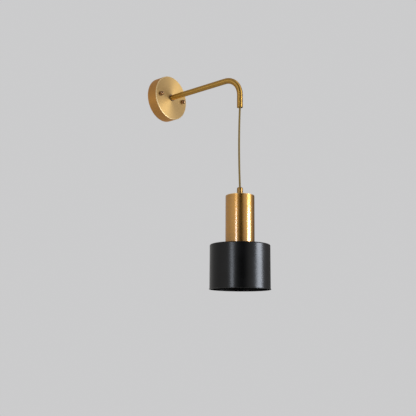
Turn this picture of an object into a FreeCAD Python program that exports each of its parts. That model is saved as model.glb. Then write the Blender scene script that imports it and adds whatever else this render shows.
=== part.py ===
import FreeCAD, Part
import math
import os
import re

import Sketcher

# A wall light with a pendant. A round canopy screwed to the wall carries a bent tube arm, and a
# straight cord hangs a brass sleeve and a drum shade from the arm's open end.
#
# Millimetres. The origin is the centre of the canopy's back rim, on the wall. +Z is up, the wall is
# the plane Y = 0, the room is on its -Y side and +X is to the right for someone facing the wall.

Vector = FreeCAD.Vector
Rotation = FreeCAD.Rotation

SIZES = [
    # Fits
    ("thread_gap", 0.05, "radial gap between a male and a female thread"),
    ("hole_gap", 0.25, "radial gap round a screw in a plain hole"),
    ("seat_gap", 0.3, "gap left where a curved face moves or rests beside another"),
    # Threads
    ("m3_radius", 1.5, "M3 screw"),
    ("m3_head_radius", 2.75, "head of an M3 screw"),
    ("m3_head_height", 1.8, "head of an M3 screw"),
    ("m4_radius", 2.0, "M4 screw"),
    ("m4_head_radius", 4.0, "head of an M4 screw"),
    ("m4_head_height", 2.6, "head of an M4 screw"),
    ("m4_nut_flats", 7.0, "M4 nut across the flats"),
    ("m4_nut_height", 3.2, "M4 nut"),
    ("pipe_radius", 4.95, "M10 x 1 nipple, outside"),
    ("pipe_bore", 4.0, "M10 x 1 nipple, inside radius"),
    ("pipe_nut_flats", 14.0, "M10 x 1 nut across the flats"),
    ("pipe_nut_height", 3.0, "M10 x 1 nut"),
    ("pipe_washer_radius", 9.0, "washer under an M10 x 1 nut"),
    ("pipe_washer_height", 1.0, "washer under an M10 x 1 nut"),
    # Mounting bar
    ("bar_thickness", 1.5, "steel strap"),
    ("bar_width", 20.0, "strap, up and down"),
    ("bar_length", 88.0, "strap, end to end"),
    ("bar_flat_length", 52.0, "middle stretch of the strap that lies on the wall"),
    ("bar_joggle", 4.0, "how far the strap's ends stand off the wall"),
    ("cable_hole_radius", 7.0, "hole for the supply cable"),
    ("slot_spacing", 38.0, "between the centres of the two wall screw slots"),
    ("slot_length", 12.0, "slot, end to end"),
    ("slot_width", 5.0, "slot, across"),
    ("ear_width", 10.0, "earthing ear"),
    ("ear_drop", 11.0, "earthing ear below the strap"),
    ("ear_centre", 36.0, "earthing ear to the right of the middle"),
    ("plate_width", 34.0, "plate below the strap that carries the terminal block"),
    ("plate_drop", 25.0, "that plate's height"),
    # Canopy and its fasteners
    ("canopy_radius", 50.0, "outside"),
    ("canopy_depth", 26.0, "wall to front face"),
    ("canopy_wall", 1.0, "spun brass"),
    ("canopy_edge_round", 1.2, "rounded front edge"),
    ("stud_spacing", 71.0, "between the two canopy screws"),
    ("ball_radius", 5.0, "ball nut"),
    ("ball_stand_off", 3.75, "ball's centre in front of the canopy's face"),
    ("ball_thread_depth", 5.5, "blind thread in the ball nut"),
    ("stud_tip_gap", 0.5, "screw's end short of the bottom of that thread"),
    # Arm
    ("arm_radius", 6.0, "arm tube, outside"),
    ("arm_wall", 1.0, "arm tube"),
    ("arm_bend", 40.0, "bend radius of the tube's centre line"),
    ("arm_reach", 222.0, "wall to the axis of the hanging pendant"),
    ("arm_drop", 67.0, "arm's axis to the tube's open end"),
    ("collar_radius", 7.5, "collar between the canopy and the tube"),
    ("collar_height", 2.0, "the same collar"),
    ("nipple_in_tube", 12.0, "length of the nipple held inside the tube"),
    ("nipple_past_nut", 5.7, "length of the nipple behind its nut"),
    ("bush_height", 12.0, "bush inside the tube's open end"),
    ("bush_recess", 3.0, "bush above the tube's open end"),
    ("bush_mouth_angle", 35.0, "half angle of the bush's bell mouth, in degrees"),
    ("bush_mouth_depth", 3.0, "height of the bell mouth"),
    # Cord and its anchor in the canopy
    ("cord_radius", 2.0, "cord"),
    ("cord_gap", 0.2, "radial gap round the cord in a grip or bush"),
    ("cord_visible", 170.0, "tube's open end to the top of the cord grip"),
    ("sheath_past_anchor", 0.5, "sheath behind the anchor"),
    ("anchor_radius", 8.0, "cord anchor"),
    ("anchor_height", 10.0, "cord anchor"),
    ("anchor_floor", 4.0, "part of the anchor that grips the cord"),
    ("core_radius", 0.9, "one insulated core"),
    # Terminal block
    ("block_length", 30.0, "three ways, side by side"),
    ("block_width", 17.0, "along the wires"),
    ("block_height", 13.0, "off its plate"),
    ("block_drop", 7.0, "block's upper side below the strap"),
    ("way_spacing", 10.0, "between two ways"),
    ("way_depth", 5.0, "wire's axis off the plate"),
    ("insert_radius", 2.5, "brass insert"),
    ("insert_length", 14.0, "brass insert"),
    ("insert_bore", 1.4, "brass insert's wire hole, radius"),
    ("screw_pitch", 8.0, "between the two screws of a way"),
    ("clamp_radius", 1.25, "wire clamping screw"),
    ("clamp_height", 4.5, "wire clamping screw"),
    ("clamp_slot", 0.6, "slot for the screwdriver"),
    ("well_radius", 1.7, "well above a clamping screw"),
    # Earth tag
    ("tag_thickness", 0.8, "ring tag"),
    ("tag_radius", 4.0, "ring tag"),
    ("tag_barrel_radius", 1.5, "crimped barrel"),
    ("tag_barrel_length", 5.5, "crimped barrel"),
    ("tag_neck", 3.0, "width of the strip between ring and barrel"),
    ("spring_washer_height", 0.8, "spring washer under the earth screw"),
    ("earth_screw_tail", 3.0, "earth screw behind its ear"),
    # Cord grip on the pendant
    ("grip_radius", 6.0, "cord grip"),
    ("grip_height", 17.0, "cord grip"),
    ("grip_round", 2.5, "its rounded top"),
    ("grip_thread_depth", 9.0, "thread in its lower end"),
    ("grip_screw_height", 12.5, "its clamping screw above the sleeve"),
    ("pendant_pipe_in_grip", 7.0, "pipe inside the grip"),
    ("pendant_pipe_in_neck", 8.0, "pipe inside the lampholder's neck"),
    # Sleeve
    ("sleeve_radius", 29.0, "outside"),
    ("sleeve_height", 100.0, "outside"),
    ("sleeve_wall", 1.0, "brass tube"),
    ("sleeve_top", 1.2, "its closed end"),
    ("sleeve_round", 1.5, "rounded top edge"),
    # Shade
    ("shade_radius", 60.0, "outside"),
    ("shade_height", 88.0, "outside"),
    ("shade_wall", 1.0, "sheet metal"),
    ("shade_round", 2.0, "rounded top edge"),
    ("lip_width", 0.9, "rolled lip at the mouth, outside the wall"),
    ("lip_height", 1.6, "the same lip"),
    ("lip_round", 0.5, "its edges"),
    # Lampholder
    ("skirt_radius", 19.75, "threaded skirt"),
    ("skirt_height", 32.0, "threaded skirt"),
    ("skirt_drop", 12.0, "skirt's rim below the shade's top"),
    ("skirt_bore", 14.1, "inside radius round the screw shell"),
    ("insert_seat", 26.0, "seat of the ceramic insert above the skirt's rim"),
    ("ceramic_radius", 17.0, "ceramic insert"),
    ("ceramic_height", 10.0, "ceramic insert"),
    ("cap_radius", 19.5, "holder's cap"),
    ("cap_wall", 1.8, "holder's cap"),
    ("cap_side", 14.0, "straight side of the cap"),
    ("cap_dome", 12.0, "height of the cap's slope"),
    ("neck_radius", 8.0, "threaded neck on the cap"),
    ("neck_height", 8.0, "threaded neck on the cap"),
    ("shell_wall", 0.4, "holder's screw shell"),
    ("shell_lip", 4.0, "screw shell's rim above the skirt's rim"),
    ("shell_top_bore", 9.5, "hole in the shell's top, radius"),
    ("contact_radius", 4.0, "centre contact"),
    ("contact_thickness", 0.5, "centre contact"),
    ("contact_stem", 1.5, "centre contact's stem, radius"),
    ("contact_drop", 2.5, "centre contact's lower face below the ceramic"),
    ("post_size", 6.0, "square terminal post"),
    ("post_height", 7.0, "terminal post"),
    ("post_offset", 9.0, "terminal post from the axis"),
    ("post_wire_height", 3.0, "wire hole above the ceramic"),
    ("post_screw_depth", 2.6, "thread of the post's screw"),
    ("sheath_in_cap", 4.0, "cord's sheath below the pipe"),
    ("ring_radius", 27.7, "upper shade ring"),
    ("ring_height", 5.0, "upper shade ring"),
    ("lower_ring_radius", 27.0, "lower shade ring"),
    ("lower_ring_height", 6.0, "lower shade ring"),
    ("ring_round", 0.8, "edges of both rings"),
    # Lamp bulb
    ("bulb_length", 78.0, "contact to the far end"),
    ("bulb_radius", 22.5, "envelope"),
    ("bulb_glass", 1.0, "envelope's wall"),
    ("bulb_cap_radius", 13.2, "screw cap"),
    ("bulb_cap_wall", 0.4, "screw cap"),
    ("bulb_cap_length", 21.5, "screw cap"),
    ("tip_radius", 3.0, "contact at the cap's end"),
    ("tip_height", 1.5, "the same contact"),
    ("insulator_height", 2.5, "insulator round the contact"),
    ("insulator_radius", 9.0, "its wide end"),
    ("bulb_collar_height", 14.0, "plastic collar"),
    ("bulb_collar_wall", 1.5, "plastic collar"),
    ("led_plate_height", 1.6, "plate with the light sources"),
]

NAMES = {name for name, number, meaning in SIZES}

document = FreeCAD.newDocument("PendantWallLight")
sheet = document.addObject("Spreadsheet::Sheet", "Sizes")
for row, (name, number, meaning) in enumerate(SIZES, start=1):
    sheet.set(f"A{row}", name)
    sheet.set(f"B{row}", str(number))
    sheet.setAlias(f"B{row}", name)
    sheet.set(f"C{row}", meaning)
document.recompute()


def formula(text):
    """Write a formula of size names as an expression that reads the sheet."""
    return re.sub(r"[a-z]\w*", lambda word: cell(word.group(0)), text)


def cell(word):
    """Put the sheet's name before a size and leave a function's name as it is."""
    return f"Sizes.{word}" if word in NAMES else word


def value(text):
    """Work out a formula of size names as a number."""
    return float(sheet.evalExpression(formula(text)))


def bind(thing, target, text):
    """Tie a property, or a sketch constraint, to a formula of size names."""
    thing.setExpression(target, formula(text))


# Heights and depths that several pieces share, as formulas.
CANOPY_INSIDE = "(canopy_depth - canopy_wall)"
NUT_BACK = f"({CANOPY_INSIDE} - pipe_washer_height - pipe_nut_height)"
NIPPLE_BACK = f"({NUT_BACK} - nipple_past_nut)"
ANCHOR_BACK = f"({NUT_BACK} - anchor_height)"
SHEATH_BACK = f"({ANCHOR_BACK} - sheath_past_anchor)"
TUBE_START = "(canopy_depth + collar_height)"
BAR_END_FRONT = "(bar_joggle + bar_thickness)"
PIPE_HOLE = "(pipe_radius + hole_gap)"
PIPE_THREAD = "(pipe_radius + thread_gap)"
M4_HOLE = "(m4_radius + hole_gap)"
M4_THREAD = "(m4_radius + thread_gap)"
M3_HOLE = "(m3_radius + hole_gap)"
M3_THREAD = "(m3_radius + thread_gap)"
CORD_HOLE = "(cord_radius + cord_gap)"
CORE_OFFSET = "(core_radius * 1.22)"
EAR_SCREW_Z = "(0 - bar_width / 2 - ear_drop / 2)"
BLOCK_TOP = "(0 - bar_width / 2 - block_drop)"
BLOCK_MIDDLE = f"({BLOCK_TOP} - block_width / 2)"
WAY_Y = "(0 - bar_thickness - way_depth)"
BLOCK_FRONT = "(0 - bar_thickness - block_height)"
DROP_Y = "(0 - arm_reach)"
EXIT_Z = "(0 - arm_drop)"
BUSH_FOOT = f"({EXIT_Z} + bush_recess)"
GRIP_TOP = f"({EXIT_Z} - cord_visible)"
SLEEVE_TOP = f"({GRIP_TOP} - grip_height)"
SHADE_TOP = f"({SLEEVE_TOP} - sleeve_height)"
SHADE_FOOT = f"({SHADE_TOP} - shade_height)"
SKIRT_RIM = f"({SHADE_TOP} - skirt_drop)"
SKIRT_TOP = f"({SKIRT_RIM} + skirt_height)"
NECK_TOP = f"({SKIRT_TOP} + cap_side + cap_dome + neck_height)"
PIPE_FOOT = f"({NECK_TOP} - pendant_pipe_in_neck)"
CERAMIC_FOOT = f"({SKIRT_RIM} + insert_seat)"
CERAMIC_TOP = f"({CERAMIC_FOOT} + ceramic_height)"
CONTACT_FOOT = f"({CERAMIC_FOOT} - contact_drop)"
BULB_CAP_TOP = f"({CONTACT_FOOT} - tip_height - insulator_height)"
BULB_COLLAR_TOP = f"({BULB_CAP_TOP} - bulb_cap_length)"
BULB_COLLAR_FOOT = f"({BULB_COLLAR_TOP} - bulb_collar_height)"
BULB_FOOT = f"({CONTACT_FOOT} - bulb_length)"
BULB_CENTRE = f"({BULB_FOOT} + bulb_radius)"

# The way a piece's own upward axis points.
UP = Rotation()
INTO_ROOM = Rotation(Vector(1, 0, 0), 90)
TO_WALL = Rotation(Vector(1, 0, 0), -90)
RIGHT = Rotation(Vector(0, 1, 0), 90)
LEFT = Rotation(Vector(0, 1, 0), -90)
DOWN = Rotation(Vector(1, 0, 0), 180)

ON_WALL = ("0", "0", "0")
WHOLE_TURN = 360


def hanging(height):
    """A place on the axis of the hanging pendant."""
    return ("0", DROP_Y, height)


def place(thing, at, turn=UP):
    """Turn a piece and tie its place to three formulas."""
    thing.Placement = FreeCAD.Placement(Vector(), turn)
    for letter, text in zip("xyz", at):
        bind(thing, f".Placement.Base.{letter}", text)
    return thing


# ---- Sketches and features of a body -------------------------------------------------------------

def body(name, at=ON_WALL, turn=UP):
    """Start a body at its place."""
    return place(document.addObject("PartDesign::Body", name), at, turn)


def sketch(owner, name, role, lift="0"):
    """Start a sketch on one of a body's origin planes, lifted off it by a formula."""
    drawing = owner.newObject("Sketcher::SketchObject", name)
    plane = next(item for item in owner.Origin.OriginFeatures if item.Role == role)
    drawing.AttachmentSupport = [(plane, "")]
    drawing.MapMode = "FlatFace"
    bind(drawing, ".AttachmentOffset.Base.z", lift)
    return drawing


def fix_point(drawing, piece, end, across, up):
    """Tie one point of a drawing to two formulas; "0" puts it on the axis."""
    for kind, axis, text in (("DistanceX", -2, across), ("DistanceY", -1, up)):
        if text == "0":
            drawing.addConstraint(Sketcher.Constraint("PointOnObject", piece, end, axis))
            continue
        rule = Sketcher.Constraint(kind, -1, 1, piece, end, value(text))
        bind(drawing, f"Constraints[{drawing.addConstraint(rule)}]", text)


def outline(drawing, corners):
    """Draw a closed outline of straight lines through corners given as formulas."""
    points = [Vector(value(across), value(up), 0) for across, up in corners]
    count = len(points)
    first = drawing.GeometryCount
    for number in range(count):
        drawing.addGeometry(Part.LineSegment(points[number], points[(number + 1) % count]))
    for number in range(count):
        after = first + (number + 1) % count
        drawing.addConstraint(Sketcher.Constraint("Coincident", first + number, 2, after, 1))
    for number, (across, up) in enumerate(corners):
        fix_point(drawing, first + number, 1, across, up)


def rectangle(drawing, left, right, low, high):
    """Draw a rectangle between four formulas."""
    outline(drawing, [(left, low), (right, low), (right, high), (left, high)])


def circle(drawing, across, up, radius):
    """Draw a circle about a point given as formulas."""
    centre = Vector(value(across), value(up), 0)
    number = drawing.addGeometry(Part.Circle(centre, Vector(0, 0, 1), value(radius)))
    fix_point(drawing, number, 3, across, up)
    rule = drawing.addConstraint(Sketcher.Constraint("Radius", number, value(radius)))
    bind(drawing, f"Constraints[{rule}]", radius)


def slot(drawing, across, length, width):
    """Draw a level slot with round ends, centred on the drawing's level axis."""
    half = value(width) / 2
    centres = [f"({across} - ({length} - {width}) / 2)", f"({across} + ({length} - {width}) / 2)"]
    ends = []
    for side, centre in enumerate(centres):
        ring = Part.Circle(Vector(value(centre), 0, 0), Vector(0, 0, 1), half)
        start = math.pi / 2 + side * math.pi
        ends.append(drawing.addGeometry(Part.ArcOfCircle(ring, start, start + math.pi)))
        fix_point(drawing, ends[-1], 3, centre, "0")
    left, right = (value(centre) for centre in centres)
    low = drawing.addGeometry(Part.LineSegment(Vector(left, -half, 0), Vector(right, -half, 0)))
    high = drawing.addGeometry(Part.LineSegment(Vector(right, half, 0), Vector(left, half, 0)))
    for one, one_end, two, two_end in (
        (ends[0], 2, low, 1), (low, 2, ends[1], 1), (ends[1], 2, high, 1), (high, 2, ends[0], 1)
    ):
        drawing.addConstraint(Sketcher.Constraint("Tangent", one, one_end, two, two_end))
    rule = drawing.addConstraint(Sketcher.Constraint("Radius", ends[0], half))
    bind(drawing, f"Constraints[{rule}]", f"{width} / 2")


def pad(owner, drawing, length, symmetric=False):
    """Raise a sketch into a solid."""
    feature = owner.newObject("PartDesign::Pad", f"{drawing.Name}Pad")
    feature.Profile = drawing
    feature.SideType = "Symmetric" if symmetric else "One side"
    bind(feature, "Length", length)
    return feature


def hole_through(owner, drawing, one_way=False, backwards=False):
    """Cut a sketch right through, both ways from its plane or only one."""
    feature = owner.newObject("PartDesign::Pocket", f"{drawing.Name}Cut")
    feature.Profile = drawing
    feature.Type = "ThroughAll"
    feature.SideType = "One side" if one_way else "Symmetric"
    feature.Reversed = backwards
    document.recompute()
    if not feature.Shape.Volume < feature.BaseFeature.Shape.Volume:
        raise RuntimeError(f"{feature.Name} cuts nothing")
    return feature


def mirrored(owner, feature):
    """Repeat a feature on the other side of the body's YZ plane."""
    copy = owner.newObject("PartDesign::Mirrored", f"{feature.Name}Mirrored")
    plane = next(item for item in owner.Origin.OriginFeatures if item.Role == "YZ_Plane")
    copy.Originals = [feature]
    copy.MirrorPlane = (plane, [""])
    owner.Tip = copy
    document.recompute()
    return copy


def turned(name, corners, at=ON_WALL, turn=UP):
    """Turn an outline of (radius, height) corners about a body's upward axis."""
    owner = body(name, at, turn)
    drawing = sketch(owner, f"{name}_profile", "XZ_Plane")
    outline(drawing, corners)
    feature = owner.newObject("PartDesign::Revolution", f"{name}_turned")
    feature.Profile = drawing
    feature.ReferenceAxis = (drawing, ["V_Axis"])
    feature.Angle = WHOLE_TURN
    document.recompute()
    return owner


def round_edges(owner, places, radius):
    """Round the whole circular edges that lie at the given (radius, height) places."""
    base = owner.Tip
    wanted = [(value(ring), value(height)) for ring, height in places]
    names = []
    for number, edge in enumerate(base.Shape.Edges, start=1):
        if not isinstance(edge.Curve, Part.Circle):
            continue
        found = (edge.Curve.Radius, edge.Curve.Center.z)
        if any(math.dist(found, spot) < 0.01 for spot in wanted):
            names.append(f"Edge{number}")
    feature = owner.newObject("PartDesign::Fillet", f"{owner.Name}_round{len(owner.Group)}")
    feature.Base = (base, names)
    bind(feature, "Radius", radius)
    owner.Tip = feature
    document.recompute()
    return owner


def ring(name, radius, bore, height, at, turn=UP):
    """A plain ring or washer, lying at the height of its lower face."""
    corners = [(bore, "0"), (radius, "0"), (radius, height), (bore, height)]
    return turned(name, corners, at, turn)


# ---- Primitives and booleans ---------------------------------------------------------------------

# How many solids each group holds; any other node is one.
solids_in = {}

def cylinder(name, radius, height, at, turn=UP):
    thing = document.addObject("Part::Cylinder", name)
    bind(thing, "Radius", radius)
    bind(thing, "Height", height)
    return place(thing, at, turn)


def box(name, length, width, height, at):
    """A box by its lowest corner."""
    thing = document.addObject("Part::Box", name)
    bind(thing, "Length", length)
    bind(thing, "Width", width)
    bind(thing, "Height", height)
    return place(thing, at)


def cut(name, base, tools):
    """Cut one or more tools out of a base."""
    thing = document.addObject("Part::Cut", name)
    thing.Base = base
    thing.Tool = tools[0] if len(tools) == 1 else fuse(f"{name}_tools", tools)
    return thing


def fuse(name, pieces):
    thing = document.addObject("Part::MultiFuse", name)
    thing.Shapes = pieces
    return thing


def group(name, pieces):
    """Several separate solids of one kind that share a node."""
    thing = document.addObject("Part::Compound", name)
    thing.Links = pieces
    solids_in[name] = len(pieces)
    return thing


def hex_nut(name, flats, height, bore, at, turn=UP):
    blank = document.addObject("Part::Prism", f"{name}_blank")
    blank.Polygon = 6
    bind(blank, "Circumradius", f"{flats} / sqrt(3)")
    bind(blank, "Height", height)
    place(blank, at, turn)
    return cut(name, blank, [cylinder(f"{name}_thread", bore, height, at, turn)])


def headed_screw(name, radius, length, head_radius, head_height, at, turn):
    """A screw whose head's underside is at the given place and whose shank runs along the turn."""
    back = turn.multiply(Rotation(Vector(1, 0, 0), 180))
    shank = cylinder(f"{name}_shank", radius, length, at, turn)
    head = cylinder(f"{name}_head", head_radius, head_height, at, back)
    return fuse(name, [shank, head])


# ---- Cords and wires -----------------------------------------------------------------------------

def cord(name, corners, radius, bend=None):
    """Run a round cord along straight runs joined by tangent arcs.

    Without a bend radius each arc takes 0.45 of its shorter run.
    """
    route = [Vector(*(value(text) for text in corner)) for corner in corners]
    edges = []
    radii = []
    start = route[0]
    for before, here, after in zip(route, route[1:], route[2:]):
        arriving = (here - before).normalize()
        leaving = (after - here).normalize()
        half_turn = arriving.getAngle(leaving) / 2
        shorter = min((here - before).Length, (after - here).Length)
        arc_radius = value(bend) if bend else 0.45 * shorter / math.tan(half_turn)
        reach = arc_radius * math.tan(half_turn)
        enter = here - arriving * reach
        leave = here + leaving * reach
        inwards = (leaving - arriving).normalize()
        middle = here + inwards * (arc_radius / math.cos(half_turn) - arc_radius)
        edges.append(Part.LineSegment(start, enter).toShape())
        edges.append(Part.Arc(enter, middle, leave).toShape())
        radii.append(round(arc_radius, 1))
        start = leave
    edges.append(Part.LineSegment(start, route[-1]).toShape())
    path = Part.Wire(edges)
    section = Part.Circle(route[0], route[1] - route[0], value(radius)).toShape()
    solid = path.makePipeShell([Part.Wire([section])], True, True)
    expected = math.pi * value(radius) ** 2 * path.Length
    print(f"{name}: length {path.Length:.1f}, arcs {radii}, volume / (section x length)"
          f" {solid.Volume / expected:.5f}")
    thing = document.addObject("Part::Feature", name)
    thing.Shape = solid
    thing.Placement = FreeCAD.Placement()
    return thing


# ---- Wall side -----------------------------------------------------------------------------------

def make_mounting_bar():
    """A steel strap with raised ends, an earthing ear and a plate for the terminal block."""
    owner = body("mounting_bar", ON_WALL, INTO_ROOM)
    flat = "bar_flat_length / 2"
    slope = "bar_flat_length / 2 + bar_joggle"
    inner_shift = f"bar_thickness * {math.tan(math.pi / 8):.9f}"
    side = sketch(owner, "bar_side", "XZ_Plane")
    outline(side, [
        ("0", "0"), (flat, "0"), (slope, "bar_joggle"), ("bar_length / 2", "bar_joggle"),
        ("bar_length / 2", BAR_END_FRONT), (f"{slope} - {inner_shift}", BAR_END_FRONT),
        (f"{flat} - {inner_shift}", "bar_thickness"), ("0", "bar_thickness"),
    ])
    strap = pad(owner, side, "bar_width", symmetric=True)
    document.recompute()
    mirrored(owner, strap)
    plate = sketch(owner, "bar_plate", "XY_Plane")
    rectangle(plate, "0 - plate_width / 2", "plate_width / 2",
              "0 - bar_width / 2 - plate_drop", "0 - bar_width / 4")
    pad(owner, plate, "bar_thickness")
    ear = sketch(owner, "bar_ear", "XY_Plane", "bar_joggle")
    rectangle(ear, "ear_centre - ear_width / 2", "ear_centre + ear_width / 2",
              "0 - bar_width / 2 - ear_drop", "0 - bar_width / 4")
    pad(owner, ear, "bar_thickness")
    document.recompute()
    holes = sketch(owner, "bar_holes", "XY_Plane")
    circle(holes, "0", "0", "cable_hole_radius")
    circle(holes, "ear_centre", EAR_SCREW_Z, M4_THREAD)
    circle(holes, "way_spacing / 2", BLOCK_MIDDLE, M3_THREAD)
    hole_through(owner, holes)
    side_holes = sketch(owner, "bar_side_holes", "XY_Plane")
    circle(side_holes, "stud_spacing / 2", "0", M4_HOLE)
    slot(side_holes, "slot_spacing / 2", "slot_length", "slot_width")
    mirrored(owner, hole_through(owner, side_holes))
    return owner


def make_canopy():
    inside = "canopy_radius - canopy_wall"
    owner = turned("canopy", [
        ("canopy_radius", "0"), ("canopy_radius", "canopy_depth"), (PIPE_HOLE, "canopy_depth"),
        (PIPE_HOLE, CANOPY_INSIDE), (inside, CANOPY_INSIDE), (inside, "0"),
    ], ON_WALL, INTO_ROOM)
    round_edges(owner, [("canopy_radius", "canopy_depth")], "canopy_edge_round")
    holes = sketch(owner, "canopy_holes", "XY_Plane")
    circle(holes, "stud_spacing / 2", "0", M4_HOLE)
    mirrored(owner, hole_through(owner, holes, one_way=True, backwards=True))
    return owner


def make_canopy_screws():
    """Two screws held in the bar by hexagon nuts, with a ball nut on each in front."""
    screws = []
    nuts = []
    balls = []
    tip = "(canopy_depth + ball_thread_depth - stud_tip_gap)"
    for side, sign in (("left", "0 -"), ("right", "0 +")):
        across = f"{sign} stud_spacing / 2"
        behind = (across, "0 - bar_joggle", "0")
        screws.append(headed_screw(f"stud_{side}", "m4_radius", f"{tip} - bar_joggle",
                                   "m4_head_radius", "m4_head_height", behind, INTO_ROOM))
        nuts.append(hex_nut(f"stud_nut_{side}", "m4_nut_flats", "m4_nut_height", M4_THREAD,
                            (across, f"0 - {BAR_END_FRONT}", "0"), INTO_ROOM))
        ball = document.addObject("Part::Sphere", f"ball_{side}")
        bind(ball, "Radius", "ball_radius")
        place(ball, (across, "0 - canopy_depth - ball_stand_off", "0"))
        seat = cylinder(f"ball_{side}_seat", "ball_radius", "ball_radius",
                        (across, "0 - canopy_depth", "0"), TO_WALL)
        thread = cylinder(f"ball_{side}_thread", M4_THREAD, "ball_thread_depth",
                          (across, "0 - canopy_depth", "0"), INTO_ROOM)
        balls.append(cut(f"ball_nut_{side}", ball, [seat, thread]))
    return group("canopy_studs", screws), group("stud_nuts", nuts), group("ball_nuts", balls)


def make_arm_tube():
    """A tube that runs level from the canopy, bends once and ends open, pointing down."""
    owner = body("arm_tube")
    route = sketch(owner, "arm_route", "YZ_Plane")
    start = f"0 - {TUBE_START}"
    bend_start = "0 - arm_reach + arm_bend"
    centre = Vector(value(bend_start), value("0 - arm_bend"), 0)
    level = route.addGeometry(Part.LineSegment(Vector(value(start), 0, 0),
                                               Vector(value(bend_start), 0, 0)))
    quarter = Part.Circle(centre, Vector(0, 0, 1), value("arm_bend"))
    bend = route.addGeometry(Part.ArcOfCircle(quarter, math.pi / 2, math.pi))
    drop = route.addGeometry(Part.LineSegment(Vector(value(DROP_Y), value("0 - arm_bend"), 0),
                                              Vector(value(DROP_Y), value(EXIT_Z), 0)))
    route.addConstraint(Sketcher.Constraint("Tangent", level, 2, bend, 1))
    route.addConstraint(Sketcher.Constraint("Tangent", bend, 2, drop, 1))
    fix_point(route, level, 1, start, "0")
    route.addConstraint(Sketcher.Constraint("Horizontal", level))
    route.addConstraint(Sketcher.Constraint("Vertical", drop))
    fix_point(route, drop, 2, DROP_Y, EXIT_Z)
    rule = route.addConstraint(Sketcher.Constraint("Radius", bend, value("arm_bend")))
    bind(route, f"Constraints[{rule}]", "arm_bend")
    section = sketch(owner, "arm_section", "XZ_Plane", TUBE_START)
    circle(section, "0", "0", "arm_radius")
    circle(section, "0", "0", "arm_radius - arm_wall")
    pipe = owner.newObject("PartDesign::AdditivePipe", "arm_pipe")
    pipe.Profile = section
    pipe.Spine = (route, ["Edge1", "Edge2", "Edge3"])
    document.recompute()
    return owner


def make_arm_fixing():
    """The collar, nipple, washer and nut that clamp the arm to the canopy's face."""
    ring("arm_collar", "collar_radius", PIPE_HOLE, "collar_height",
         ("0", "0 - canopy_depth", "0"), INTO_ROOM)
    ring("arm_nipple", "pipe_radius", "pipe_bore",
         f"{TUBE_START} + nipple_in_tube - {NIPPLE_BACK}",
         ("0", f"0 - {NIPPLE_BACK}", "0"), INTO_ROOM)
    ring("arm_lock_washer", "pipe_washer_radius", PIPE_HOLE, "pipe_washer_height",
         ("0", f"0 - {CANOPY_INSIDE} + pipe_washer_height", "0"), INTO_ROOM)
    hex_nut("arm_nut", "pipe_nut_flats", "pipe_nut_height", PIPE_THREAD,
            ("0", f"0 - {NUT_BACK}", "0"), INTO_ROOM)


def make_cord_anchor():
    """A grip screwed on the nipple's wall end, where the cord's pull is taken."""
    owner = turned("cord_anchor", [
        (CORD_HOLE, "0"), ("anchor_radius", "0"), ("anchor_radius", "anchor_height"),
        (PIPE_THREAD, "anchor_height"), (PIPE_THREAD, "anchor_floor"),
        (CORD_HOLE, "anchor_floor"),
    ], ("0", f"0 - {ANCHOR_BACK}", "0"), INTO_ROOM)
    side = sketch(owner, "anchor_side", "XZ_Plane")
    circle(side, "0", "anchor_floor / 2", M3_THREAD)
    hole_through(owner, side, one_way=True)
    cylinder("anchor_screw", "m3_radius", "anchor_radius - cord_radius - thread_gap",
             ("0", f"0 - {ANCHOR_BACK} - anchor_floor / 2", "cord_radius + thread_gap"))


def make_terminal_block():
    """A three-way block on the bar's plate: body, brass inserts, clamping screws, fixing screw."""
    tools = []
    inserts = []
    screws = []
    below = f"{BLOCK_TOP} - block_width"
    for way in (-1, 0, 1):
        across = f"{way} * way_spacing"
        tag = ("left", "middle", "right")[way + 1]
        foot = (across, WAY_Y, f"{BLOCK_MIDDLE} - insert_length / 2")
        tools.append(cylinder(f"block_way_{tag}", "insert_radius + thread_gap", "block_width",
                              (across, WAY_Y, below)))
        insert_tools = [cylinder(f"insert_bore_{tag}", "insert_bore", "insert_length", foot)]
        for row, sign in (("low", "-"), ("high", "+")):
            spot = f"{BLOCK_MIDDLE} {sign} screw_pitch / 2"
            mark = f"{tag}_{row}"
            tools.append(cylinder(f"block_well_{mark}", "well_radius", "block_height - way_depth",
                                  (across, WAY_Y, spot), INTO_ROOM))
            insert_tools.append(cylinder(f"insert_thread_{mark}", "clamp_radius + thread_gap",
                                         "insert_radius * 2", (across, WAY_Y, spot), INTO_ROOM))
            bottom = f"{WAY_Y} - core_radius - thread_gap"
            blank = cylinder(f"clamp_blank_{mark}", "clamp_radius", "clamp_height",
                             (across, bottom, spot), INTO_ROOM)
            groove = box(f"clamp_slot_{mark}", "clamp_radius * 2", "clamp_slot", "clamp_slot",
                         (f"{across} - clamp_radius", f"{bottom} - clamp_height",
                          f"{spot} - clamp_slot / 2"))
            screws.append(cut(f"clamp_{mark}", blank, [groove]))
        blank = cylinder(f"insert_blank_{tag}", "insert_radius", "insert_length", foot)
        inserts.append(cut(f"insert_{tag}", blank, insert_tools))
    tools.append(cylinder("block_fixing_hole", M3_HOLE, "block_height",
                          ("way_spacing / 2", "0 - bar_thickness", BLOCK_MIDDLE), INTO_ROOM))
    block = box("block_blank", "block_length", "block_height", "block_width",
                ("0 - block_length / 2", BLOCK_FRONT, below))
    cut("terminal_block", block, tools)
    group("terminal_inserts", inserts)
    group("terminal_screws", screws)
    headed_screw("block_fixing_screw", "m3_radius", "block_height + bar_thickness - stud_tip_gap",
                 "m3_head_radius", "m3_head_height",
                 ("way_spacing / 2", BLOCK_FRONT, BLOCK_MIDDLE), TO_WALL)


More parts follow.
